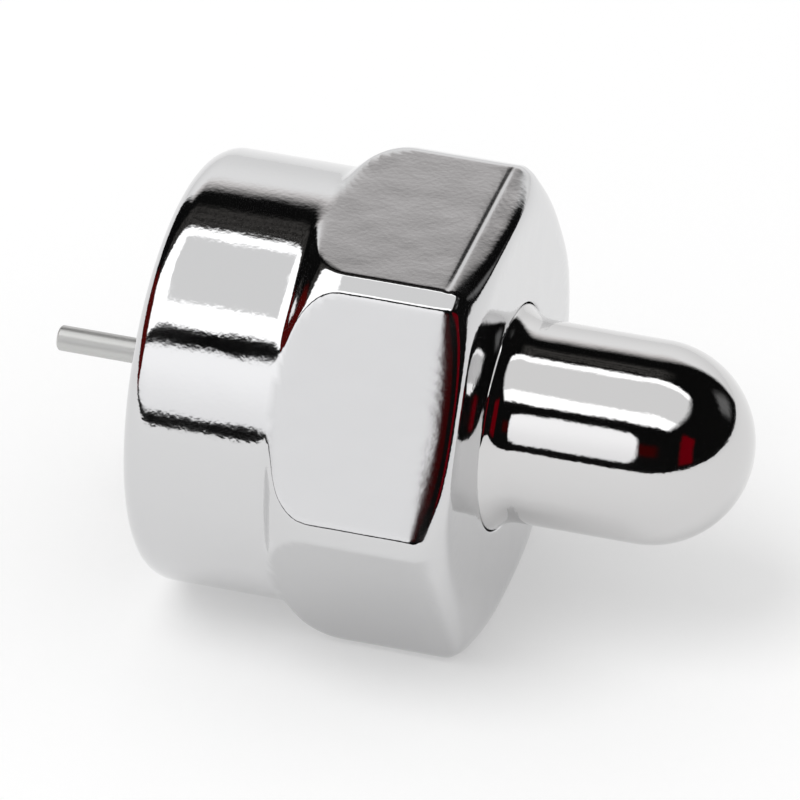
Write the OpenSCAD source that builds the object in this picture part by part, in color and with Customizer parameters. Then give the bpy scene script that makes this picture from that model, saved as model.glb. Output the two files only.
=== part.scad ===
// Coaxial terminator, 75 ohm, male, with a 3/8-32 coupling nut.
// It lies on one flat of its hexagonal nut, as it comes to rest on a table.
// The thread's axis is the X axis. The origin is where that axis meets the nut's front face.
// +X points at the round nose, -X out of the nut's mouth along the centre pin, and +Z is up.
// All lengths are in millimetres.

/* [Coupling nut] */
// Wall between the run-out groove and the flats, which makes the hexagon 11 across
nut_wall = 0.68; // [0.5:0.01:1.2]
// Length of the nut along its axis
nut_l = 8.52; // [8:0.02:11]
// Length of the round collar in front of the hexagon
collar_l = 3.79; // [3:0.01:4.6]
// How far the collar's surface lies under the flats
collar_drop = 0.02; // [0.01:0.01:0.3]
// Radius of the collar's rounded front rim
rim_round = 0.73; // [0.1:0.01:0.73]
// Least width of the flat ring between that rounding and the mouth
rim_land = 0.05; // [0.02:0.01:0.2]
// How much turning takes off each sharp corner of the hexagon
corner_trim = 0.14; // [0.05:0.01:0.4]
// Length of the convex shoulder from the collar out to the corners
shoulder_l = 1.33; // [0.6:0.01:1.8]
// Length of the rounded rear end of the corners
rear_round_l = 0.5; // [0.2:0.01:0.8]
// How far the rear face's edge lies under the flats
rear_face_drop = 0.05; // [0.02:0.01:0.5]
// Length of the shallow bevel at the rear of each flat
bevel_l = 0.84; // [0.3:0.01:1.4]
// Slope of that bevel against the flat, in degrees
bevel_angle = 3.5; // [2:0.5:20]
// Thickness of the nut's rear wall
rear_wall_t = 1.75; // [1.4:0.01:2.2]

/* [Thread] */
// Bore of the internal thread, measured over its crests
thread_minor_d = 8.76; // [8.5:0.01:8.9]
// Pitch of the thread
thread_pitch = 0.79375; // [0.7:0.00125:0.8]
// Depth of its groove, from the crests to the flat root
thread_depth = 0.38; // [0.3:0.01:0.4]
// Chamfer at the nut's mouth
mouth_chamfer = 0.24; // [0.1:0.01:0.24]
// Depth of the run-out groove behind the thread, under the crests
relief_depth = 0.44; // [0.2:0.01:0.5]
// Distance from the run-out groove's front edge to the seat
relief_lead = 0.75; // [0.5:0.01:1]

/* [Body] */
// Diameter of the round-nosed rear part
bullet_d = 5.12; // [4.6:0.01:5.6]
// Step from there out to the neck that carries the nut
root_step = 0.3; // [0.2:0.01:0.5]
// Length of the hollow fillet between the two
root_l = 0.63; // [0.4:0.01:1]
// Thickness of the flange inside the nut
flange_t = 1.1; // [0.8:0.01:1.5]
// Radial gap between the flange and the thread's crests
flange_gap = 0.23; // [0.1:0.01:0.4]
// Broken edge of the flange
flange_edge = 0.12; // [0.05:0.01:0.2]
// Wall between the drilled hole's point and the nose
nose_wall = 0.69; // [0.4:0.01:1.5]
// Included angle of the drill's point, in degrees
drill_point = 118; // [90:1:140]

/* [Running fit] */
// Radial gap between the neck and the nut's hole
neck_gap = 0.05; // [0.03:0.01:0.12]
// Gap along the axis between the flange and the nut's rear wall
wall_gap = 0.15; // [0.05:0.01:0.25]
// Broken edges of the nut's hole
hole_edge = 0.1; // [0.05:0.01:0.15]

/* [Retaining ring] */
// Thickness of the split ring along the axis
ring_t = 0.5; // [0.3:0.01:0.6]
// Depth of the ring's groove in the neck
ring_groove_depth = 0.42; // [0.3:0.01:0.5]
// How far the ring stands out of the neck
ring_stand = 0.33; // [0.2:0.01:0.4]
// Gap between the ring and each wall of its grooves
ring_gap = 0.08; // [0.02:0.01:0.12]
// Width of the ring's split
ring_split = 1.1; // [0.4:0.05:2]

/* [Insulator] */
// Diameter of the plastic bush that holds the pin
bush_d = 4; // [3.4:0.05:4.6]
// Length of the bush
bush_l = 1.4; // [1:0.05:1.7]
// Broken rear edge of the bush
bush_edge = 0.15; // [0.05:0.01:0.3]

/* [Resistor] */
// Diameter over the lacquered ends
resistor_d = 2.3; // [2:0.01:2.6]
// How much slimmer the lacquered waist is, on the radius
waist_drop = 0.12; // [0.05:0.01:0.15]
// Length of the lacquered body
resistor_l = 6.2; // [5.6:0.05:7.5]
// Length of each thick end
bulge_l = 1.55; // [1.4:0.05:1.9]
// Rounding of the lacquered ends
coat_round = 0.35; // [0.1:0.01:0.4]
// Lacquer over the rim of the end caps
coat_t = 0.15; // [0.08:0.01:0.2]
// Lacquer over the faces of the end caps
coat_end_t = 0.12; // [0.05:0.01:0.2]
// Length of a pressed steel end cap
cap_l = 1.2; // [0.8:0.05:1.3]
// Sheet thickness of an end cap
cap_sheet = 0.15; // [0.1:0.01:0.2]
// Gap between the resistor and the drilled hole
bore_gap = 0.15; // [0.05:0.01:0.3]
// Gap between the resistor and what is in front of it and behind it
end_gap = 0.06; // [0.02:0.01:0.2]

/* [Leads] */
// Diameter of the wire that is the centre pin in front and the earth lead behind
lead_d = 0.65; // [0.5:0.01:0.9]
// How far the centre pin stands out of the nut
pin_reach = 3.3; // [2:0.05:5]
// Broken edge of the pin's tip
pin_edge = 0.05; // [0.02:0.01:0.1]
// How deep the rear lead stands in the solder
solder_grip = 0.4; // [0.2:0.01:0.45]

/* [Hidden] */

// Facets of a full turn, and steps of a rounded corner
turn_fn = 96;
round_steps = 10;
// How far a cutting shape runs past the face that it cuts
over = 1;

// Steps of one turn of the thread's helix
helix_steps = 36;
// Half the included angle of the thread
flank_angle = 30;
// How far inside the crests the cutting tool's section reaches, and how far clear of them it starts
tool_reach = 0.1;
tool_lift = 0.01;
// Part of a pitch from the chamfer to the groove's middle, and of a turn in which it deepens
lead_in = 0.35;
deepening = 0.5;

hex_sides = 6;
half_sector = 180 / hex_sides;
thread_r = thread_minor_d / 2;
relief_r = thread_r + relief_depth;
flat_r = relief_r + nut_wall;
collar_r = flat_r - collar_drop;
corner_r = flat_r / cos(half_sector) - corner_trim;
rear_face_r = flat_r - rear_face_drop;
mouth_r = thread_r + mouth_chamfer;
rim_r = min(rim_round, collar_r - mouth_r - rim_land);

bullet_r = bullet_d / 2;
neck_r = bullet_r + root_step;
hole_r = neck_r + neck_gap;
flange_r = thread_r - flange_gap;
bore_r = resistor_d / 2 + bore_gap;
bush_r = bush_d / 2;
lead_r = lead_d / 2;

// Middle of the thread's groove where it begins, just behind the chamfer
thread_x = mouth_chamfer + thread_pitch * lead_in;

// Stations along the axis, from the nut's rear wall forward to the seat
wall_x = nut_l - rear_wall_t;
flange_x = wall_x - wall_gap;
seat_x = flange_x - flange_t;
relief_x = seat_x - relief_lead;
ring_x = nut_l - rear_wall_t / 2;

// Stations along the axis, from the seat back to the nose
bush_x = seat_x + bush_l;
coat_x0 = bush_x + end_gap;
coat_x1 = coat_x0 + resistor_l;
cap_x0 = coat_x0 + coat_end_t;
cap_x1 = coat_x1 - coat_end_t;
solder_x = coat_x1 + end_gap;
drill_tip_x = solder_x + bore_r / tan(drill_point / 2);
tip_x = drill_tip_x + nose_wall;
nose_x = tip_x - bullet_r;
lead_end_x = solder_x + solder_grip;

cap_r = resistor_d / 2 - coat_t;
core_r = cap_r - cap_sheet;
waist_r = resistor_d / 2 - waist_drop;
groove_r = neck_r - ring_groove_depth;
ring_outer_r = neck_r + ring_stand;
nut_groove_r = ring_outer_r + ring_gap;

// Points of a rounded corner, an ellipse of half axes rr and rx about the centre [cr, cx]
function corner(cr, cx, rr, rx, from, to) =
    [for (i = [0 : round_steps]) let (t = from + (to - from) * i / round_steps)
        [cr + rr * cos(t), cx + rx * sin(t)]];

// Points of a hollow fillet from [r0, x0] that runs out along the cylinder r1 at x1
function hollow_fillet(r0, x0, r1, x1) =
    let (run = x1 - x0,
         rise = r0 - r1,
         radius = (run * run + rise * rise) / (2 * rise),
         sweep = asin(run / radius))
    [for (i = [0 : round_steps]) let (t = -sweep * (1 - i / round_steps))
        [r1 + radius - radius * cos(t), x1 + radius * sin(t)]];

// A turned shape about the X axis, from points [radius, station]
module turned(points) {
    rotate([0, 90, 0])
        rotate_extrude($fn = turn_fn)
            polygon(points);
}

// The nut's outside as it leaves the lathe: collar, convex shoulder and rounded rear corner
module nut_blank() {
    turned(concat(
        [[0, 0]],
        corner(collar_r - rim_r, rim_r, rim_r, rim_r, -90, 0),
        corner(collar_r, collar_l + shoulder_l, corner_r - collar_r, shoulder_l, -90, 0),
        corner(rear_face_r, nut_l - rear_round_l, corner_r - rear_face_r, rear_round_l, 0, 90),
        [[0, nut_l]]
    ));
}

// The hexagon that is milled from it, with one flat straight down
module hexagon() {
    translate([-over, 0, 0])
        rotate([0, 90, 0])
            rotate([0, 0, half_sector])
                cylinder(h = nut_l + 2 * over, r = flat_r / cos(half_sector), $fn = hex_sides);
}

// What is taken off above the shallow bevel at the rear of the upper flat
module bevel_cut() {
    translate([nut_l - bevel_l, -flat_r, flat_r])
        rotate([0, bevel_angle, 0])
            cube([bevel_l + over, 2 * flat_r, over]);
}

// The nut's inside: mouth, thread bore, run-out groove, and the hole with the ring's groove
module nut_hollow() {
    turned([
        [0, -over],
        [mouth_r + over, -over],
        [thread_r, mouth_chamfer],
        [thread_r, relief_x],
        [relief_r, relief_x + relief_depth],
        [relief_r, wall_x],
        [hole_r + hole_edge, wall_x],
        [hole_r, wall_x + hole_edge],
        [hole_r, ring_x - ring_t / 2 - ring_gap],
        [nut_groove_r, ring_x - ring_t / 2 - ring_gap],
        [nut_groove_r, ring_x + ring_t / 2 + ring_gap],
        [hole_r, ring_x + ring_t / 2 + ring_gap],
        [hole_r, nut_l + over],
        [0, nut_l + over]
    ]);
}

// Corners of the thread groove's section at step i, as [x, y, z]. It deepens from nothing at the
// start, and its root is flat over an eighth of the pitch.
function groove_corners(i) =
    let (turn = i / helix_steps,
         x = thread_x + thread_pitch * turn,
         depth = min(thread_depth, thread_depth * turn / deepening - tool_lift),
         root_half = thread_pitch / 8 / 2,
         rise = (depth + tool_reach) * tan(flank_angle),
         inner_r = thread_r - tool_reach,
         outer_r = thread_r + depth)
    [for (c = [[-root_half - rise, inner_r], [-root_half, outer_r],
               [root_half, outer_r], [root_half + rise, inner_r]])
        [x + c[0], c[1] * cos(360 * turn), c[1] * sin(360 * turn)]];

// The solid that a single-point tool sweeps as it cuts the right-handed thread
module thread_groove() {
    steps = ceil((relief_x + relief_depth - thread_x) / thread_pitch) * helix_steps;
    points = [for (i = [0 : steps]) each groove_corners(i)];
    sides = [for (i = [0 : steps - 1], k = [0 : 3])
        let (a = 4 * i + k, b = 4 * i + (k + 1) % 4)
        each [[a, b, b + 4], [a, b + 4, a + 4]]];
    polyhedron(points, concat(sides, [[3, 2, 1, 0]], [[for (k = [0 : 3]) 4 * steps + k]]));
}

// Hexagonal nut, turned and milled from one bar, that spins on the body's neck
module coupling_nut() {
    color([0.80, 0.80, 0.81])
        difference() {
            intersection() {
                nut_blank();
                hexagon();
            }
            for (side = [0 : hex_sides - 1])
                rotate([side * 2 * half_sector, 0, 0])
                    bevel_cut();
            nut_hollow();
            thread_groove();
        }
}

// Turned body: the flange that the port's end seats on, the neck, and the round-nosed rear
module terminator_body() {
    color([0.76, 0.76, 0.77])
        difference() {
            turned(concat(
                [[0, seat_x],
                 [flange_r - flange_edge, seat_x],
                 [flange_r, seat_x + flange_edge],
                 [flange_r, flange_x - flange_edge],
                 [flange_r - flange_edge, flange_x],
                 [neck_r, flange_x],
                 [neck_r, ring_x - ring_t / 2 - ring_gap],
                 [groove_r, ring_x - ring_t / 2 - ring_gap],
                 [groove_r, ring_x + ring_t / 2 + ring_gap],
                 [neck_r, ring_x + ring_t / 2 + ring_gap]],
                hollow_fillet(neck_r, nut_l, bullet_r, nut_l + root_l),
                corner(0, nose_x, bullet_r, bullet_r, 0, 90)
            ));
            turned([
                [0, seat_x - over],
                [bush_r, seat_x - over],
                [bush_r, bush_x],
                [bore_r, bush_x],
                [bore_r, solder_x],
                [0, drill_tip_x]
            ]);
        }
}

// Split spring ring in the neck's groove, which keeps the nut on the body
module retaining_ring() {
    color([0.62, 0.60, 0.56])
        difference() {
            turned([
                [groove_r + ring_gap, ring_x - ring_t / 2],
                [ring_outer_r, ring_x - ring_t / 2],
                [ring_outer_r, ring_x + ring_t / 2],
                [groove_r + ring_gap, ring_x + ring_t / 2]
            ]);
            translate([ring_x - ring_t, -ring_split / 2, 0])
                cube([2 * ring_t, ring_split, ring_outer_r + over]);
        }
}

// Plastic bush, pressed into the body's mouth, that centres the pin
module insulator_bush() {
    color([0.94, 0.94, 0.91])
        turned([
            [lead_r, seat_x],
            [bush_r, seat_x],
            [bush_r, bush_x - bush_edge],
            [bush_r - bush_edge, bush_x],
            [lead_r, bush_x]
        ]);
}

// The resistor's front lead, which is the terminator's centre pin
module centre_pin() {
    color([0.78, 0.78, 0.77])
        turned([
            [0, -pin_reach],
            [lead_r - pin_edge, -pin_reach],
            [lead_r, -pin_reach + pin_edge],
            [lead_r, cap_x0],
            [0, cap_x0]
        ]);
}

// Ceramic rod that carries the resistive film
module resistor_core() {
    color([0.86, 0.84, 0.78])
        turned([
            [0, cap_x0 + cap_sheet],
            [core_r, cap_x0 + cap_sheet],
            [core_r, cap_x1 - cap_sheet],
            [0, cap_x1 - cap_sheet]
        ]);
}

// Lacquer over the rod and its end caps, thicker over the caps
module resistor_coat() {
    coat_r = resistor_d / 2;
    color([0.80, 0.68, 0.48])
        turned(concat(
            [[lead_r, coat_x0]],
            corner(coat_r - coat_round, coat_x0 + coat_round, coat_round, coat_round, -90, 0),
            [[coat_r, coat_x0 + bulge_l - waist_drop],
             [waist_r, coat_x0 + bulge_l + waist_drop],
             [waist_r, coat_x1 - bulge_l - waist_drop],
             [coat_r, coat_x1 - bulge_l + waist_drop]],
            corner(coat_r - coat_round, coat_x1 - coat_round, coat_round, coat_round, 0, 90),
            [[lead_r, coat_x1],
             [lead_r, cap_x1],
             [cap_r, cap_x1],
             [cap_r, cap_x1 - cap_l],
             [core_r, cap_x1 - cap_l],
             [core_r, cap_x0 + cap_l],
             [cap_r, cap_x0 + cap_l],
             [cap_r, cap_x0],
             [lead_r, cap_x0]]
        ));
}

// Pressed steel cup over one end of the rod. The way is 1 if it opens towards the nose, else -1
module end_cap(face_x, way) {
    color([0.72, 0.72, 0.73])
        turned([
            [0, face_x],
            [cap_r, face_x],
            [cap_r, face_x + way * cap_l],
            [core_r, face_x + way * cap_l],
            [core_r, face_x + way * cap_sheet],
            [0, face_x + way * cap_sheet]
        ]);
}

module front_end_cap() {
    end_cap(cap_x0, 1);
}

module rear_end_cap() {
    end_cap(cap_x1, -1);
}

// The resistor's rear lead, cut short
module earth_lead() {
    color([0.78, 0.78, 0.77])
        turned([
            [0, cap_x1],
            [lead_r, cap_x1],
            [lead_r, lead_end_x],
            [0, lead_end_x]
        ]);
}

// Solder in the drill's point, which joins the rear lead to the body
module solder_joint() {
    color([0.66, 0.66, 0.67])
        turned([
            [lead_r, solder_x],
            [bore_r, solder_x],
            [0, drill_tip_x],
            [0, lead_end_x],
            [lead_r, lead_end_x]
        ]);
}

coupling_nut();
terminator_body();
retaining_ring();
insulator_bush();
centre_pin();
resistor_core();
resistor_coat();
front_end_cap();
rear_end_cap();
earth_lead();
solder_joint();
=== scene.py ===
import math

import bpy
import numpy as np
from mathutils import Matrix, Vector


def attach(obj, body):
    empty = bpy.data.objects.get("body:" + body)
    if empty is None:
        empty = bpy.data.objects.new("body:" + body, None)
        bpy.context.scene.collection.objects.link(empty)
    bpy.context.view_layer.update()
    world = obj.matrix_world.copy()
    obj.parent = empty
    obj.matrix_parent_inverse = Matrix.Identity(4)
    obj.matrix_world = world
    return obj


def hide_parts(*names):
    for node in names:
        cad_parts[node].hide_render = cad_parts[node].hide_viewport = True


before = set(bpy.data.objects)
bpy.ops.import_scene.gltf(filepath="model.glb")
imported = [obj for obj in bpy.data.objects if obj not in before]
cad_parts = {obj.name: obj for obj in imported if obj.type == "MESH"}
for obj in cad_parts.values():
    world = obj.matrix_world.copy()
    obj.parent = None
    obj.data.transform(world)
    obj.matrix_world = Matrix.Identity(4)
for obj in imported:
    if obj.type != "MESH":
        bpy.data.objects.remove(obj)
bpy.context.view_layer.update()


# Coupling nut. It is turned from bright nickelled brass bar, milled to a hexagon, bored and
# threaded 3/8-32 from the front, and it spins on the body's neck. Sizes are in millimetres,
# and places along the axis are counted from the nut's front face.

MM = 0.001
FLAT_R = 5.5
COLLAR_R = 5.48
CORNER_R = 6.211
NUT_L = 8.52
COLLAR_L = 3.79
SHOULDER_L = 1.33
SHOULDER_ARC_R = 1.575
OUTSIDE_R = 4.9
MOUTH_R = 4.62
RIM_R = 0.73
REAR_CORNER_X = 8.08
REAR_LAND_R = 5.40
BEVEL_X = 7.68
BEVEL_SLOPE = math.tan(math.radians(3.5))
CREASE_DEEP = 0.05
CREASE_WIDE = 0.05
UPPER_FLAT_HALF = 29
SHARP = 0.002
ROUNDED = 0.05
EDGE_SOFT = 0.03
ROOT_SOFT = 0.13
ROOT_REACH = 0.35
REAR_SOFT = 0.26
REAR_SOFT_X = 7.75
MILLED_END_X = 7.95
REAR_FADE = 0.3
CUT_FADE = 0.08
CREST_R = 4.38
ROOT_R = 4.7625
PITCH = 0.79375
RELIEF_R = 4.82
RELIEF_X = 4.77
THREAD_END_X = 5.3
ROOT_HALF_FLAT = 0.05
THREAD_START_X = 0.1
THREAD_FADE_IN = 0.5
WALL_X = 6.77
HOLE_CHAMFER = 0.1
REAR_BREAK = 0.03
NECK_HOLE_R = 2.885
NUT_GROOVE_R = 3.27
GROOVE_X = (7.315, 7.975)
LINE_STEP = 0.012
ROW_STEP = 0.16
ROW_TURN = 7
FLAT_EDGE = 27.7
COLUMN_TURN = 1.25
EDGE_TURN = 0.16


def arc(centre_x, centre_r, half_x, half_r, start, end, steps=40):
    """Points of an ellipse's arc. The angle is 0 where the radius is largest and 90 towards +X."""
    t = np.radians(np.linspace(start, end, steps))
    return np.stack([centre_x + half_x * np.sin(t), centre_r + half_r * np.cos(t)], axis=1)


def evenly(points, step=LINE_STEP):
    """The same line through the points [x, r], cut into equal steps along its length."""
    points = np.asarray(points, float)
    run = np.concatenate([[0], np.cumsum(np.hypot(*np.diff(points, axis=0).T))])
    at = np.linspace(0, run[-1], int(run[-1] / step) + 2)
    return np.stack([np.interp(at, run, points[:, k]) for k in (0, 1)], axis=1)


def softened(points, reach):
    """Each point becomes the average of its neighbours along the line, weighted by a bell curve
    that is `reach` wide, so straight runs stay straight and corners are rounded."""
    step = np.hypot(*np.diff(points, axis=0).T).mean()
    if reach <= 0:
        return points
    near = int(3 * reach / step) + 1
    bell = np.exp(-0.5 * (np.arange(-near, near + 1) * step / reach) ** 2)
    head = points[0] - (points[1] - points[0]) * np.arange(near, 0, -1)[:, None]
    tail = points[-1] + (points[-1] - points[-2]) * np.arange(1, near + 1)[:, None]
    line = np.concatenate([head, points, tail])
    return np.stack([np.convolve(line[:, k], bell / bell.sum(), "valid") for k in (0, 1)], axis=1)


def chosen(points, rows, stride, turn):
    """`rows` points of the dense line with their directions. They lie evenly by length over
    `stride` plus turning over `turn` degrees, so they crowd where the line bends."""
    way = np.gradient(points, axis=0)
    way /= np.maximum(np.hypot(way[:, 0], way[:, 1])[:, None], 1e-12)
    length = np.hypot(*np.diff(points, axis=0).T)
    cross = way[:-1, 0] * way[1:, 1] - way[:-1, 1] * way[1:, 0]
    bend = np.degrees(np.abs(np.arcsin(np.clip(cross, -1, 1))))
    count = np.concatenate([[0], np.cumsum(length / stride + bend / turn)])
    at = np.interp(np.linspace(0, count[-1], rows), count, np.arange(len(points)))
    return [np.interp(at, np.arange(len(points)), c) for c in (*points.T, *way.T)]


def smooth_step(t):
    """0 below 0 and 1 above 1, with a level start and end."""
    t = np.clip(t, 0, 1)
    return t * t * (3 - 2 * t)


def smooth_least(a, b, width):
    """The lesser of a and b, blended by a parabola where they differ by less than `width`."""
    return np.minimum(a, b) - np.maximum(width - np.abs(a - b), 0) ** 2 / (4 * width)


def around(x, r, angle):
    """Points at station x and radius r, at an angle from +Y towards +Z."""
    return np.stack([x, r * np.cos(angle), r * np.sin(angle)], axis=-1)


def facing(along, across):
    """Unit vectors square to both directions of the surface."""
    n = np.cross(across, along)
    return n / np.maximum(np.linalg.norm(n, axis=-1)[..., None], 1e-12)


def ring_quads(rows, columns, shift=0):
    """Corner numbers of the faces of a grid that closes on itself round the axis. The last column
    meets the first one `shift` rows further on."""
    i = np.arange(rows * columns).reshape(rows, columns)
    wrap = i[:, :1]
    if shift:
        wrap = np.concatenate([wrap[shift:], wrap[-1:].repeat(shift, axis=0)])
    i = np.concatenate([i, wrap], axis=1)
    quads = np.stack([i[:-1, :-1], i[:-1, 1:], i[1:, 1:], i[1:, :-1]], axis=-1)
    return quads.reshape(-1, 4)


def add_piece(name, patches, body, material, values=None):
    """One mesh from patches of (points, normals, quads). Points that coincide are merged, and each
    face keeps the normals of its own patch, so that seams are closed and edges stay crisp."""
    first = np.cumsum([0] + [len(p[0]) for p in patches])
    points = np.concatenate([p[0] for p in patches]) * MM
    normals = np.concatenate([p[1] for p in patches])
    quads = np.concatenate([p[2] + k for p, k in zip(patches, first)])
    merged, back = np.unique(np.round(points, 7), axis=0, return_inverse=True)
    corner = back.reshape(-1)[quads]
    kept = corner != np.roll(corner, -1, axis=1)
    kept[kept.sum(axis=1) < 3] = False
    totals = kept.sum(axis=1)
    totals = totals[totals > 0]
    mesh = bpy.data.meshes.new(name)
    mesh.vertices.add(len(merged))
    mesh.vertices.foreach_set("co", merged.ravel())
    mesh.loops.add(int(totals.sum()))
    mesh.loops.foreach_set("vertex_index", corner[kept])
    mesh.polygons.add(len(totals))
    mesh.polygons.foreach_set("loop_start", np.concatenate([[0], np.cumsum(totals)[:-1]]))
    mesh.update(calc_edges=True)
    mesh.polygons.foreach_set("use_smooth", np.ones(len(totals), bool))
    mesh.normals_split_custom_set(normals[quads[kept]])
    if values is not None:
        share = np.zeros(len(merged))
        share[back.reshape(-1)] = values
        mesh.attributes.new("milled", "FLOAT", "POINT").data.foreach_set("value", share)
    mesh.materials.append(material)
    piece = bpy.data.objects.new(name, mesh)
    bpy.context.collection.objects.link(piece)
    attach(piece, body)
    return piece


def hexagon_columns(per_flat):
    """Angles round the nut, `per_flat` to each flat. They lie about COLUMN_TURN degrees apart and
    crowd to EDGE_TURN where a flat meets its corner, by a bell curve round FLAT_EDGE."""
    fine = np.linspace(-30, 30, 6001)
    crowd = 1 / COLUMN_TURN + np.exp(-(((np.abs(fine) - FLAT_EDGE) / 0.8) ** 2)) / EDGE_TURN
    count = np.concatenate([[0], np.cumsum((crowd[1:] + crowd[:-1]) / 2)])
    local = np.interp(np.arange(per_flat) / per_flat * count[-1], count, fine)
    return np.radians((30 + 60 * np.arange(6)[:, None] + local[None]).ravel())


def flat_lean(angle):
    """The cosine of the angle between a direction from the axis and the nearest flat's middle."""
    return np.cos(np.radians(np.degrees(angle) % 60 - 30))


def nut_outline(angle, rows):
    """The nut's section at one angle. The turned blank's outline has a round front rim, a shoulder
    on an arc of a circle and a straight rear chamfer. It is cut back to the flat's plane and to
    the shallow bevel behind its crease, along an edge that is sharp at the collar and rounded
    from there on. Then it is softened, more so at the shoulder's root and at the rear edge. The
    cutter left a fine groove along the upper flat's crease."""
    blank = evenly(np.concatenate([
        [[0, MOUTH_R]],
        arc(RIM_R, COLLAR_R - RIM_R, RIM_R, RIM_R, -90, 0),
        [[COLLAR_L, COLLAR_R]],
        arc(COLLAR_L + SHOULDER_L, CORNER_R - SHOULDER_ARC_R, SHOULDER_ARC_R, SHOULDER_ARC_R,
            -math.degrees(math.asin(SHOULDER_L / SHOULDER_ARC_R)), 0),
        [[REAR_CORNER_X, CORNER_R], [NUT_L, REAR_LAND_R]],
        [[NUT_L, NECK_HOLE_R + REAR_BREAK], [NUT_L - REAR_BREAK, NECK_HOLE_R]],
        [[GROOVE_X[1], NECK_HOLE_R], [GROOVE_X[1], NUT_GROOVE_R]],
        [[GROOVE_X[0], NUT_GROOVE_R], [GROOVE_X[0], NECK_HOLE_R]],
        [[WALL_X + HOLE_CHAMFER, NECK_HOLE_R], [WALL_X, NECK_HOLE_R + HOLE_CHAMFER]],
        [[WALL_X, RELIEF_R], [THREAD_END_X, RELIEF_R]],
    ]))
    x, turned = blank.T
    upper = max(0, 1 - ((math.degrees(angle) % 360 - 90) / UPPER_FLAT_HALF) ** 8)
    crease = CREASE_DEEP * upper * np.exp(-((x - BEVEL_X) / CREASE_WIDE) ** 2)
    flat = (FLAT_R - crease - np.maximum(x - BEVEL_X, 0) * BEVEL_SLOPE) / flat_lean(angle)
    width = SHARP + (ROUNDED - SHARP) * smooth_step((x - COLLAR_L) / 0.1)
    line = evenly(np.stack([x, smooth_least(turned, flat, width)], axis=1))
    outer = line[:, 1] > OUTSIDE_R
    rear = (smooth_step((line[:, 0] - REAR_SOFT_X) / REAR_FADE) * outer)[:, None]
    root = (np.exp(-((line[:, 0] - COLLAR_L) / ROOT_REACH) ** 4) * outer)[:, None]
    fine, at_root, at_rear = (softened(line, s) for s in (EDGE_SOFT, ROOT_SOFT, REAR_SOFT))
    line = fine + (at_root - fine) * root
    return chosen(line + (at_rear - line) * rear, rows, ROW_STEP, ROW_TURN)


def abreast(outline, here):
    """The outline's points [x, r], each slid along the outline till it is abreast of its fellow."""
    way = (outline[2:] + here[2:]) / 2
    return outline[:2] - way * (way * (outline[:2] - here[:2])).sum(axis=0)


def nut_patch(angles, rows):
    """The nut's outlines at all angles, with normals from the outline's direction and from the
    outlines a hair to either side, and how far each point lies on a milled flat: the depth that
    the mill took off the turned blank, as a smooth step, fading out before the rear edge."""
    hair = 6e-3
    here, before, after = (
        np.array([nut_outline(a, rows) for a in angles + d]).transpose(1, 2, 0)
        for d in (0, -hair, hair))
    along = around(here[2], here[3], angles[None])
    across = around(*abreast(after, here), angles[None] + hair) \
        - around(*abreast(before, here), angles[None] - hair)
    points = around(here[0], here[1], angles[None])
    short = np.clip(COLLAR_L + SHOULDER_L - here[0], 0, SHOULDER_L)
    blank = CORNER_R - SHOULDER_ARC_R + np.sqrt(SHOULDER_ARC_R ** 2 - short ** 2)
    milled = smooth_step((blank - FLAT_R / flat_lean(angles)[None]) / CUT_FADE) \
        * (here[1] > OUTSIDE_R) * (1 - smooth_step((here[0] - MILLED_END_X) / REAR_FADE))
    return (points.reshape(-1, 3), facing(along, across).reshape(-1, 3),
            ring_quads(rows, len(angles))), milled.ravel()


def thread_radius(x, turn):
    """The bore's radius, where `turn` is 1 for a whole turn: a 60 degree groove with a flat root,
    wound round the bore, opened by the mouth's chamfer in front and by the run-out groove behind.
    The wound groove grows from nothing at the mouth."""
    off = np.abs((x / PITCH - turn + 0.5) % 1 - 0.5) * PITCH
    depth = ROOT_R - CREST_R
    groove = np.clip(1 - (off - ROOT_HALF_FLAT) * math.sqrt(3) / depth, 0, 1)
    bore = CREST_R + depth * groove * smooth_step((x - THREAD_START_X) / THREAD_FADE_IN)
    runout = np.minimum(CREST_R + (x - RELIEF_X), RELIEF_R)
    return np.maximum(np.maximum(bore, MOUTH_R - x), runout)


def thread_patch(angles, rows_per_turn):
    """The threaded bore, on rows that wind with the thread and end at the bore's two ends. The
    rows of one pitch lie closer where the flanks begin and end."""
    turns = THREAD_END_X / PITCH
    start = -np.arange(rows_per_turn, 0, -1) / rows_per_turn
    part = np.array([0, 0.065, 0.16, 0.25, 0.34, 0.43, 0.57, 0.66, 0.75, 0.84, 0.935])
    part = np.interp(np.arange(rows_per_turn) / rows_per_turn * len(part),
                     np.arange(len(part) + 1), np.append(part, 1))
    whole = (np.arange(-1, math.ceil(turns) + 1)[:, None] + part[None]).ravel()
    turn = (angles - angles[0]) / (2 * math.pi)
    wound = (whole[:, None] + turn[None]) * PITCH
    x = np.clip(wound, 0, THREAD_END_X)
    turn = np.broadcast_to(turn[None], x.shape)
    angle = np.broadcast_to(angles[None], x.shape)
    r = thread_radius(x, turn)
    hair = 2e-3
    along = around(np.full_like(x, 2 * hair),
                   thread_radius(x + hair, turn) - thread_radius(x - hair, turn), angle)
    spin = 1e-3
    ahead, behind = thread_radius(x, turn + spin), thread_radius(x, turn - spin)
    across = around(0 * x, ahead, angle + 2 * math.pi * spin) \
        - around(0 * x, behind, angle - 2 * math.pi * spin)
    quads = ring_quads(*x.shape, shift=rows_per_turn)
    return (around(x, r, angle).reshape(-1, 3), -facing(along, across).reshape(-1, 3),
            quads[:, ::-1])


def node_input(tree, node, name, value):
    """Links a socket to the named input, or sets the number or colour on it."""
    if isinstance(value, bpy.types.NodeSocket):
        tree.links.new(value, node.inputs[name])
    else:
        node.inputs[name].default_value = value


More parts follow.
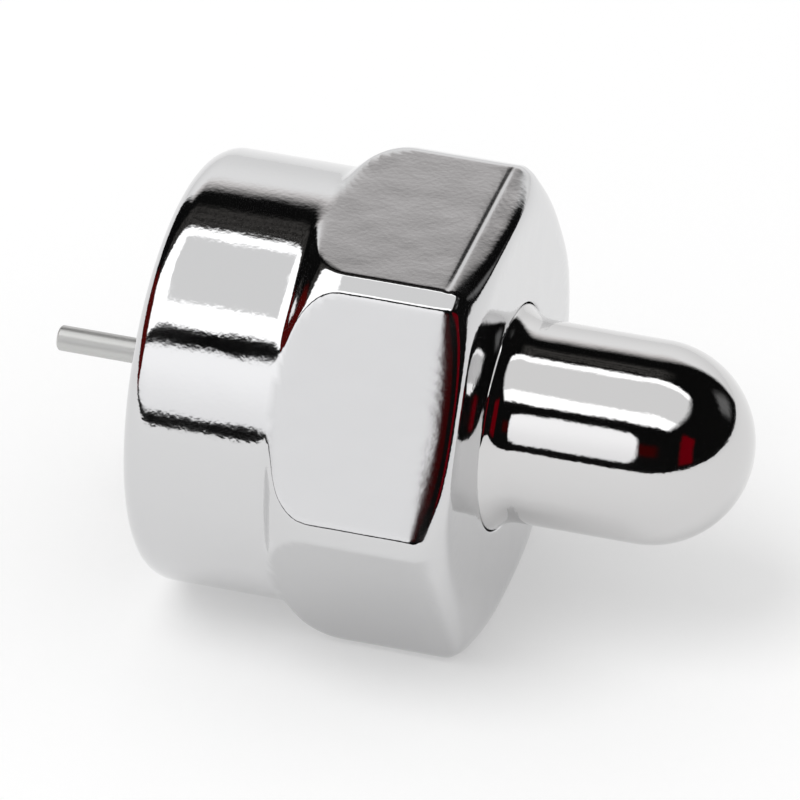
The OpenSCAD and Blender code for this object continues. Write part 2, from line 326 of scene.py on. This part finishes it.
def place(tree, kind, settings=(), **inputs):
    """A node with its settings made and its inputs linked or set. An input is called by its name,
    or i0, i1 and so on by its number."""
    node = tree.nodes.new(kind)
    for key, value in dict(settings).items():
        setattr(node, key, value)
    for key, value in inputs.items():
        if key[0] == "i" and key[1:].isdigit():
            node_input(tree, node, int(key[1:]), value)
        else:
            node_input(tree, node, key.replace("_", " "), value)
    return node


def new_group(name, sockets_in, sockets_out):
    """An empty shader node group with its input and output nodes."""
    group = bpy.data.node_groups.new(name, "ShaderNodeTree")
    for label, kind, value in sockets_in:
        made = group.interface.new_socket(label, in_out="INPUT", socket_type=kind)
        if value is not None:
            made.default_value = value
    for label, kind in sockets_out:
        group.interface.new_socket(label, in_out="OUTPUT", socket_type=kind)
    return group, group.nodes.new("NodeGroupInput"), group.nodes.new("NodeGroupOutput")


# Plate grain: the fine unevenness of tumbled and nickelled brass, as a height for a bump, the
# haze of handling and polish, which varies slowly, and the waviness of a worked surface. Below
# it are the nut's plate, whose milled flats are duller, and the nut itself.

GRAIN_HEIGHT = 0.00001
MILLED_ROUGH = 0.16
MILLED_GRAIN = 0.8
MILLED_DULL = 0.87

plate_grain, given, made = new_group(
    "plate grain",
    [("Position", "NodeSocketVector", None), ("Fineness", "NodeSocketFloat", 4000.0),
     ("Sweep", "NodeSocketFloat", 300.0)],
    [("Height", "NodeSocketFloat"), ("Haze", "NodeSocketFloat"), ("Waviness", "NodeSocketFloat")])
for label, ratio, detail, rough in (("Height", 1.0, 1.5, 0.5), ("Haze", None, 2.0, 0.5),
                                    ("Waviness", 0.12, 1.0, 0.4)):
    scale = given.outputs["Sweep"]
    if ratio:
        scale = place(plate_grain, "ShaderNodeMath", {"operation": "MULTIPLY"},
                      i0=given.outputs["Fineness"], i1=ratio).outputs[0]
    noise = place(plate_grain, "ShaderNodeTexNoise", Vector=given.outputs["Position"],
                  Scale=scale, Detail=detail, Roughness=rough)
    plate_grain.links.new(noise.outputs["Fac"], made.inputs[label])


def nickel(name, colour, rough, grain, milled=False):
    """Bright nickel plate, a little wavy. Its roughness wanders with the haze, and on milled flats
    the cutter's grain makes it rougher and duller."""
    material = bpy.data.materials.new(name)
    material.use_nodes = True
    tree = material.node_tree
    shader = tree.nodes["Principled BSDF"]
    shader.inputs["Base Color"].default_value = (*colour, 1)
    shader.inputs["Metallic"].default_value = 1
    where = place(tree, "ShaderNodeTexCoord")
    grained = place(tree, "ShaderNodeGroup", {"node_tree": plate_grain},
                    Position=where.outputs["Object"], Fineness=8000.0, Sweep=420.0)
    haze = place(tree, "ShaderNodeMapRange", Value=grained.outputs["Haze"],
                 From_Min=0.3, From_Max=0.7, To_Min=rough * 0.8, To_Max=rough * 1.25)
    roughness = haze.outputs["Result"]
    wave = place(tree, "ShaderNodeBump", Height=grained.outputs["Waviness"],
                 Strength=1.0, Distance=GRAIN_HEIGHT)
    bump = place(tree, "ShaderNodeBump", Height=grained.outputs["Height"],
                 Strength=grain, Distance=GRAIN_HEIGHT, Normal=wave.outputs["Normal"])
    if milled:
        flat = place(tree, "ShaderNodeAttribute", {"attribute_name": "milled"})
        mixed = place(tree, "ShaderNodeMix", {"data_type": "FLOAT"},
                      i0=flat.outputs["Fac"], i2=roughness, i3=MILLED_ROUGH)
        roughness = mixed.outputs[0]
        depth = place(tree, "ShaderNodeMapRange", Value=flat.outputs["Fac"],
                      To_Min=grain, To_Max=grain * MILLED_GRAIN)
        tree.links.new(depth.outputs["Result"], bump.inputs["Strength"])
        dull = place(tree, "ShaderNodeMix", {"data_type": "RGBA"}, i0=flat.outputs["Fac"],
                     i6=(*colour, 1), i7=(*(c * MILLED_DULL for c in colour), 1))
        tree.links.new(dull.outputs[2], shader.inputs["Base Color"])
    tree.links.new(roughness, shader.inputs["Roughness"])
    tree.links.new(bump.outputs["Normal"], shader.inputs["Normal"])
    return material


nut_plate = nickel("nut nickel plate", (0.64, 0.64, 0.645), 0.06, 0.2, milled=True)
nut_columns = hexagon_columns(64)
outside, outside_milled = nut_patch(nut_columns, 132)
thread = thread_patch(nut_columns, 11)
coupling_nut = add_piece("nut_turned_and_threaded", [outside, thread], "nut", nut_plate,
                         np.concatenate([outside_milled, np.zeros(len(thread[0]))]))
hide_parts("coupling_nut")


# Terminator body. It is turned from one brass bar and nickelled: the flange inside the nut, the
# neck that carries the nut, and the round-nosed rear, bored from the front for the resistor.

FLANGE_R = 4.15
NECK_R = 2.86
BULLET_R = 2.56
SEAT_X = 5.52
FLANGE_X = 6.62
ROOT_L = 0.63
NOSE_X = 12.151
BORE_R = 1.30
BUSH_R = 2.0
BUSH_X = 6.92
DRILL_X = 13.24
DRILL_TIP_X = 14.021
NECK_GROOVE_R = 2.44
FLANGE_CHAMFER = 0.12
BODY_SOFT = 0.05


def turned_patch(points, rows, columns, soft=0.0, stride=ROW_STEP):
    """A turned surface: the outline's chosen points, carried round the axis. The outline runs
    with the solid on its right, seen with +X to the right and the radius upwards."""
    line = softened(evenly(points), soft)
    line[:, 1] = np.maximum(line[:, 1], 0)
    x, r, way_x, way_r = chosen(line, rows, stride, ROW_TURN)
    angles = np.arange(columns) * 2 * math.pi / columns
    x, r, way_x, way_r = (np.repeat(c[:, None], columns, axis=1) for c in (x, r, way_x, way_r))
    angle = np.broadcast_to(angles[None], x.shape)
    normals = around(-way_r, way_x, angle)
    return (around(x, r, angle).reshape(-1, 3), normals.reshape(-1, 3),
            ring_quads(rows, columns))


def hollow_fillet(start_x, start_r, end_x, end_r):
    """Points of a hollow arc of a circle, which leaves the step at start and runs out level with
    the axis at the radius end_r."""
    run, rise = end_x - start_x, start_r - end_r
    radius = (run * run + rise * rise) / (2 * rise)
    t = np.linspace(-math.asin(run / radius), 0, 24)
    return np.stack([end_x + radius * np.sin(t), end_r + radius - radius * np.cos(t)], axis=1)


body_plate = nickel("body nickel plate", (0.64, 0.635, 0.635), 0.05, 0.12)
body_outside = turned_patch(np.concatenate([
    [[SEAT_X, BUSH_R], [SEAT_X, FLANGE_R - FLANGE_CHAMFER], [SEAT_X + FLANGE_CHAMFER, FLANGE_R]],
    [[FLANGE_X - FLANGE_CHAMFER, FLANGE_R], [FLANGE_X, FLANGE_R - FLANGE_CHAMFER]],
    [[FLANGE_X, NECK_R], [GROOVE_X[0], NECK_R], [GROOVE_X[0], NECK_GROOVE_R]],
    [[GROOVE_X[1], NECK_GROOVE_R], [GROOVE_X[1], NECK_R]],
    hollow_fillet(NUT_L, NECK_R, NUT_L + ROOT_L, BULLET_R),
    arc(NOSE_X, 0, BULLET_R, BULLET_R, 0, 90, 90),
]), 120, 192, BODY_SOFT)
body_bore = turned_patch([[DRILL_TIP_X, 0], [DRILL_X, BORE_R], [BUSH_X, BORE_R],
                          [BUSH_X, BUSH_R], [SEAT_X, BUSH_R]], 24, 192)
terminator_body = add_piece("turned_body", [body_outside, body_bore], "terminator", body_plate)
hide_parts("terminator_body")


# Insulator bush and centre pin. The bush is turned from natural white plastic and pressed into
# the body's mouth. The pin is the resistor's own tinned lead, cut square with a slight burr.

LEAD_R = 0.325
BUSH_BREAK = 0.06
BUSH_CHAMFER = 0.15
PIN_REACH = 3.3
PIN_BREAK = 0.05
CAP_X = 7.10

bush_plastic = bpy.data.materials.new("natural white plastic")
bush_plastic.use_nodes = True
bush_shader = bush_plastic.node_tree.nodes["Principled BSDF"]
bush_shader.inputs["Base Color"].default_value = (0.86, 0.86, 0.82, 1)
bush_shader.inputs["Roughness"].default_value = 0.42
bush = add_piece("plastic_bush", [
    turned_patch([[SEAT_X, LEAD_R], [SEAT_X, BUSH_R - BUSH_BREAK], [SEAT_X + BUSH_BREAK, BUSH_R],
                  [BUSH_X - BUSH_CHAMFER, BUSH_R], [BUSH_X, BUSH_R - BUSH_CHAMFER],
                  [BUSH_X, LEAD_R]], 30, 128, soft=0.012),
    turned_patch([[BUSH_X, LEAD_R], [SEAT_X, LEAD_R]], 3, 128),
], "terminator", bush_plastic)
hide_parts("insulator_bush")


def tinned(name, colour, rough, grain):
    """Satin tinned or plain metal, with the faint lengthwise drawing lines of wire and sheet."""
    material = bpy.data.materials.new(name)
    material.use_nodes = True
    tree = material.node_tree
    shader = tree.nodes["Principled BSDF"]
    shader.inputs["Base Color"].default_value = (*colour, 1)
    shader.inputs["Metallic"].default_value = 1
    where = place(tree, "ShaderNodeTexCoord")
    stretch = place(tree, "ShaderNodeMapping", Vector=where.outputs["Object"])
    stretch.inputs["Scale"].default_value = (0.08, 1, 1)
    grained = place(tree, "ShaderNodeGroup", {"node_tree": plate_grain},
                    Position=stretch.outputs["Vector"], Fineness=14000.0, Sweep=2500.0)
    haze = place(tree, "ShaderNodeMapRange", Value=grained.outputs["Haze"],
                 From_Min=0.3, From_Max=0.7, To_Min=rough * 0.85, To_Max=rough * 1.2)
    bump = place(tree, "ShaderNodeBump", Height=grained.outputs["Height"],
                 Strength=grain, Distance=GRAIN_HEIGHT)
    tree.links.new(haze.outputs["Result"], shader.inputs["Roughness"])
    tree.links.new(bump.outputs["Normal"], shader.inputs["Normal"])
    return material


wire_tin = tinned("tinned wire", (0.58, 0.58, 0.57), 0.42, 0.05)
pin = add_piece("centre_contact", [
    turned_patch([[-PIN_REACH, 0], [-PIN_REACH, LEAD_R - PIN_BREAK],
                  [PIN_BREAK - PIN_REACH, LEAD_R], [CAP_X, LEAD_R], [CAP_X, 0]],
                 40, 64, soft=0.008, stride=0.5),
], "terminator", wire_tin)
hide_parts("centre_pin")


# Retaining ring, resistor and its solder. The ring is split spring steel in the grooves of neck
# and nut. The resistor is a lacquered ceramic rod with pressed end caps and colour bands.

COAT_X = (6.98, 13.18)
TAN = (0.50, 0.30, 0.12, 1)
BAND_HALF = 0.035
BANDS = ((0.16, (0.16, 0.03, 0.30)), (0.36, (0.02, 0.22, 0.05)), (0.50, (0.01, 0.01, 0.01)),
         (0.64, (0.45, 0.30, 0.06)), (0.84, (0.10, 0.03, 0.01)))

ring_steel = tinned("spring steel", (0.42, 0.41, 0.39), 0.3, 0.05)
cap_tin = tinned("tinned cap steel", (0.55, 0.55, 0.56), 0.32, 0.05)
solder_grey = tinned("dull solder", (0.50, 0.50, 0.51), 0.45, 0.15)
rod = bpy.data.materials.new("unglazed ceramic")
rod.use_nodes = True
rod_shader = rod.node_tree.nodes["Principled BSDF"]
rod_shader.inputs["Base Color"].default_value = (0.80, 0.78, 0.72, 1)
rod_shader.inputs["Roughness"].default_value = 0.7

lacquer = bpy.data.materials.new("tan lacquer with bands")
lacquer.use_nodes = True
lacquer_shader = lacquer.node_tree.nodes["Principled BSDF"]
lacquer_shader.inputs["Roughness"].default_value = 0.22
lacquer_where = place(lacquer.node_tree, "ShaderNodeTexCoord")
lacquer_axes = place(lacquer.node_tree, "ShaderNodeSeparateXYZ",
                     Vector=lacquer_where.outputs["Object"])
along_coat = place(lacquer.node_tree, "ShaderNodeMapRange", Value=lacquer_axes.outputs["X"],
                   From_Min=COAT_X[0] * MM, From_Max=COAT_X[1] * MM)
bands = place(lacquer.node_tree, "ShaderNodeValToRGB", Fac=along_coat.outputs["Result"])
bands.color_ramp.interpolation = "CONSTANT"
bands.color_ramp.elements[0].color = TAN
bands.color_ramp.elements[1].position = 1.0
bands.color_ramp.elements[1].color = TAN
for middle, colour in BANDS:
    bands.color_ramp.elements.new(middle - BAND_HALF).color = (*colour, 1)
    bands.color_ramp.elements.new(middle + BAND_HALF).color = TAN
lacquer.node_tree.links.new(bands.outputs["Color"], lacquer_shader.inputs["Base Color"])

for node_name, finish in (("retaining_ring", ring_steel), ("front_end_cap", cap_tin),
                          ("rear_end_cap", cap_tin), ("solder_joint", solder_grey),
                          ("earth_lead", wire_tin), ("resistor_core", rod),
                          ("resistor_coat", lacquer)):
    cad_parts[node_name].data.materials.clear()
    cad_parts[node_name].data.materials.append(finish)


# Table, light and camera. The nut lies on its lowest flat on a plain white table under one soft
# lamp. The room that the plate mirrors is a white sweep behind, a panel overhead and one in
# front, with dark gaps between them. The world paints it by direction alone.

TABLE_HALF = 0.8

table_top = bpy.data.meshes.new("table_top")
corners = [(-1, -1), (1, -1), (1, 1), (-1, 1)]
table_top.from_pydata([(TABLE_HALF * i, TABLE_HALF * j, -FLAT_R * MM) for i, j in corners],
                      [], [(0, 1, 2, 3)])
white_table = bpy.data.materials.new("white table")
white_table.use_nodes = True
table_shader = white_table.node_tree.nodes["Principled BSDF"]
table_shader.inputs["Base Color"].default_value = (0.72, 0.72, 0.72, 1)
table_shader.inputs["Emission Color"].default_value = (1, 1, 1, 1)
table_shader.inputs["Emission Strength"].default_value = 0.29
table_shader.inputs["Roughness"].default_value = 0.9
table_shader.inputs["Specular IOR Level"].default_value = 0.0
table_top.materials.append(white_table)
floor = bpy.data.objects.new("table_top", table_top)
bpy.context.collection.objects.link(floor)

lamp_data = bpy.data.lights.new("soft lamp", "AREA")
lamp_data.shape = "DISK"
lamp_data.size = 0.35
lamp_data.energy = 1.1
lamp = bpy.data.objects.new("soft lamp", lamp_data)
bpy.context.collection.objects.link(lamp)
lamp.location = (-0.15, -0.2, 0.5)
lamp.rotation_mode = "QUATERNION"
lamp.rotation_quaternion = (lamp.location * -1).to_track_quat("-Z", "Y")
lamp.visible_glossy = False
lamp.visible_camera = False

world = bpy.data.worlds.new("white room")
bpy.context.scene.world = world
world.use_nodes = True
room = world.node_tree
room.nodes.clear()


def reckon(operation, *values, clamp=False):
    """A Math node's result."""
    node = place(room, "ShaderNodeMath", {"operation": operation, "use_clamp": clamp},
                 **{"i%d" % k: v for k, v in enumerate(values)})
    return node.outputs[0]


def above(value, at, soft):
    """0 below `at` and 1 above it, with a smooth step `soft` wide."""
    node = place(room, "ShaderNodeMapRange", {"interpolation_type": "SMOOTHSTEP"}, Value=value,
                 From_Min=reckon("SUBTRACT", at, soft / 2), From_Max=reckon("ADD", at, soft / 2))
    return node.outputs["Result"]


def below(value, at, soft):
    """1 below `at` and 0 above it, with a smooth step `soft` wide."""
    return reckon("SUBTRACT", 1.0, above(value, at, soft))


def between(value, low, high, soft):
    """1 between low and high and 0 outside, with smooth edges."""
    return reckon("SUBTRACT", above(value, low, soft), above(value, high, soft), clamp=True)


def bowed(value, middle, half, depth, power):
    """0 at the middle and `depth` at `half` to either side, by a power of the distance."""
    off = reckon("ABSOLUTE", reckon("DIVIDE", reckon("SUBTRACT", value, middle), half))
    return reckon("MULTIPLY", depth, reckon("POWER", off, power))


def beyond(value, start, slope):
    """The square of how far the value is past `start`, times `slope`."""
    past = reckon("MAXIMUM", reckon("SUBTRACT", value, start), 0.0)
    return reckon("MULTIPLY", slope, reckon("POWER", past, 2.0))


def both(*masks):
    """The product of several masks."""
    result = masks[0]
    for mask in masks[1:]:
        result = reckon("MULTIPLY", result, mask)
    return result


def painted(under, mask, colour):
    """The colour `under`, with another laid over it where the mask is 1. Either one is three
    values or a node's result."""
    node = place(room, "ShaderNodeMix", {"data_type": "RGBA"}, i0=mask)
    for number, value in ((6, under), (7, colour)):
        node_input(room, node, number, (*value, 1) if isinstance(value, tuple) else value)
    return node.outputs[2]


# Directions in the room, in degrees. The bearing is 0 level in front, 90 overhead and 180 level
# behind. The slant is 0 square to the thread's axis and 90 along it past the nose.
ray = place(room, "ShaderNodeTexCoord")
split = place(room, "ShaderNodeSeparateXYZ", Vector=ray.outputs["Generated"])
ray_x, ray_y, ray_z = (split.outputs[k] for k in range(3))
lifted = reckon("ARCTAN2", ray_z, reckon("MULTIPLY", ray_y, -1.0))
lifted = reckon("MULTIPLY", lifted, 180 / math.pi)
bearing = reckon("MODULO", reckon("ADD", lifted, 360.0), 360.0)
slant = reckon("MULTIPLY", reckon("ARCSINE", ray_x), 180 / math.pi)
mottle = place(room, "ShaderNodeTexNoise", Vector=ray.outputs["Generated"], Scale=30.0,
               Detail=2.0, Roughness=0.6).outputs["Fac"]
ragged = reckon("ADD", bearing, reckon("MULTIPLY", reckon("SUBTRACT", mottle, 0.5), 8.0))

# The black of the room, and its mottled dark grey wall behind the overhead panel.
wall = both(between(ragged, 100.0, 125.0, 6.0), above(mottle, 0.45, 0.3), below(slant, 5.0, 20.0))
surroundings = painted((0.004, 0.004, 0.004), wall, (0.06, 0.057, 0.054))

# The white sweep behind and below. Its upper edge drops towards the nose and at the far left.
sweep_edge = reckon("ADD", beyond(slant, -8.0, 0.022),
                    beyond(reckon("MULTIPLY", slant, -1.0), 33.0, 0.2))
sweep_edge = reckon("MINIMUM", reckon("ADD", sweep_edge, 142.4), 183.0)
sweep = both(above(bearing, sweep_edge, 13.0), below(bearing, 356.0, 4.0))
sweep_white = painted((0.87, 0.84, 0.83), above(bearing, 149.0, 9.0), (1.07, 1.07, 1.07))
sweep_white = painted(sweep_white, above(bearing, 168.0, 30.0), (0.88, 0.88, 0.88))
surroundings = painted(surroundings, sweep, sweep_white)

# The panel overhead: a greyer middle in a bright frame, with a rounded end beyond the nose.
panel_end = reckon("SUBTRACT", 40.0, bowed(bearing, 85.0, 30.0, 12.0, 2.0))
panel = both(between(bearing, 53.0, 110.0, 3.0), between(slant, -72.0, panel_end, 8.0))
panel_middle = both(between(bearing, 66.0, 103.5, 3.0), above(slant, -20.0, 4.0))
panel_white = painted((1.75, 1.75, 1.75), panel_middle, (0.95, 0.95, 0.95))
surroundings = painted(surroundings, panel, panel_white)

# The panel in front, brighter towards its top, with a dark red glow past its rounded end.
glow = both(between(bearing, 19.0, 31.0, 6.0), between(slant, -6.0, 18.0, 10.0))
surroundings = painted(surroundings, glow, (0.042, 0.001, 0.001))
front_end = reckon("SUBTRACT", -3.0, bowed(bearing, 25.0, 17.0, 9.0, 4.0))
front = both(between(bearing, 5.5, 42.5, 5.0), below(slant, front_end, 6.0))
front_white = painted((1.14, 1.14, 1.15), above(bearing, 22.0, 30.0), (1.36, 1.36, 1.37))
surroundings = painted(surroundings, front, front_white)

# The dark red far left, a small red lamp beyond the nose, and a grey gap behind.
surroundings = painted(surroundings, below(slant, -68.0, 4.0), (0.09, 0.004, 0.003))
red_lamp = both(between(bearing, 8.0, 55.0, 8.0), between(slant, 43.5, 58.5, 5.0))
surroundings = painted(surroundings, red_lamp, (0.15, 0.0, 0.004))
grey_gap = both(between(ragged, 148.0, 168.0, 12.0), between(slant, 38.0, 54.0, 10.0))
surroundings = painted(surroundings, grey_gap, (0.16, 0.16, 0.16))

# Only mirror rays see these surroundings. Other rays get plain light, and the camera white.
kind = place(room, "ShaderNodeLightPath")
lit = painted((0.72, 0.72, 0.72), kind.outputs["Is Glossy Ray"], surroundings)
seen = reckon("MAXIMUM", kind.outputs["Is Camera Ray"], kind.outputs["Is Transmission Ray"])
room_light = place(room, "ShaderNodeBackground", Color=painted(lit, seen, (1.0, 1.0, 1.0)),
                   Strength=1.0)
room_end = place(room, "ShaderNodeOutputWorld")
room.links.new(room_light.outputs[0], room_end.inputs[0])

# The camera turns round a point on the axis and aims a little to the left of it.
PIVOT_X = 7
AWAY = 226.2
SWING, PITCH_DOWN, ROLL = (math.radians(a) for a in (76.59, 36.37, 0.307))
AIM_LEFT = 1.309
AIM_UP = 0.1645

camera_data = bpy.data.cameras.new("camera")
camera_data.lens = 409.7
camera_data.sensor_width = 36
camera_data.clip_start = 0.01
camera_data.clip_end = 3
camera = bpy.data.objects.new("camera", camera_data)
bpy.context.collection.objects.link(camera)
pivot = Vector((PIVOT_X, 0, 0))
upward = Vector((0, -math.cos(PITCH_DOWN), math.sin(PITCH_DOWN)))
back = math.cos(SWING) * Vector((1, 0, 0)) + math.sin(SWING) * upward
sideways = Vector((0, 0, 1)).cross(back).normalized()
upright = back.cross(sideways)
right = math.cos(ROLL) * sideways + math.sin(ROLL) * upright
top = math.cos(ROLL) * upright - math.sin(ROLL) * sideways
eye = pivot + AWAY * back
aim = pivot - AIM_LEFT * right + AIM_UP * top
look = (eye - aim).normalized()
right = (right - right.dot(look) * look).normalized()
top = look.cross(right)
turned = Matrix((right, top, look)).transposed().to_4x4()
camera.matrix_world = Matrix.Translation(eye * MM) @ turned
bpy.context.scene.camera = camera
bpy.context.scene.view_settings.view_transform = "Standard"
